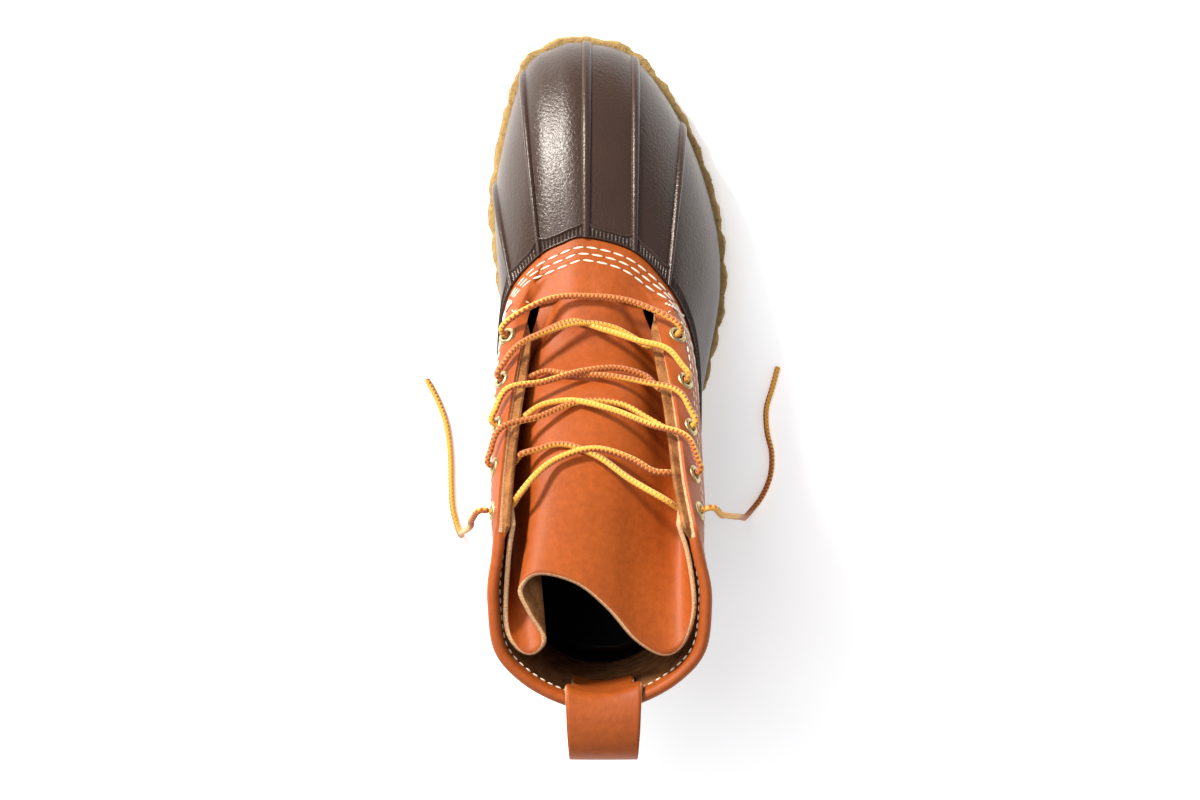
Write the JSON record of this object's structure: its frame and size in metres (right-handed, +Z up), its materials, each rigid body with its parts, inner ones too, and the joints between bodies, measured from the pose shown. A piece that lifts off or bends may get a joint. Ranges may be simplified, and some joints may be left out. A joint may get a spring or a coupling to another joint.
{
  "type": "duck boot",
  "caption": "Ankle-high right duck boot: moulded rubber bottom with toe ribs, open laced leather shaft, folded bellows tongue, round lace and a pull loop at the back.",
  "frame": {"origin": "on the ground, at the middle of the boot's box without the free lace ends", "axes": "+Y towards the toe, +Z up, +X towards the outer side of this right foot"},
  "size_m": [0.174, 0.3276, 0.1713],
  "materials": {
    "tan_rubber": "matte natural crepe-coloured rubber",
    "brown_rubber": "pebbled dark brown rubber with a soft sheen",
    "black_felt": "matte dark lining",
    "tan_leather": "smooth orange-tan full-grain leather",
    "brass": "pale satin brass",
    "yellow_cord": "braided round lace, yellow with brown flecks"
  },
  "bodies": {
    "root": {"outsole": "tan_rubber", "rubber_bottom": "brown_rubber", "insole": "black_felt", "upper": "tan_leather", "tongue": "tan_leather", "pull_loop": "tan_leather", "eyelet_outer_1": "brass", "eyelet_outer_2": "brass", "eyelet_outer_3": "brass", "eyelet_outer_4": "brass", "eyelet_outer_5": "brass", "eyelet_inner_1": "brass", "eyelet_inner_2": "brass", "eyelet_inner_3": "brass", "eyelet_inner_4": "brass", "eyelet_inner_5": "brass", "lace_bar": "yellow_cord", "lace_crossing_1": "yellow_cord", "lace_crossing_2": "yellow_cord", "lace_crossing_3": "yellow_cord", "lace_crossing_4": "yellow_cord", "lace_end_outer": "yellow_cord", "lace_end_inner": "yellow_cord"}
  },
  "joints": []
}
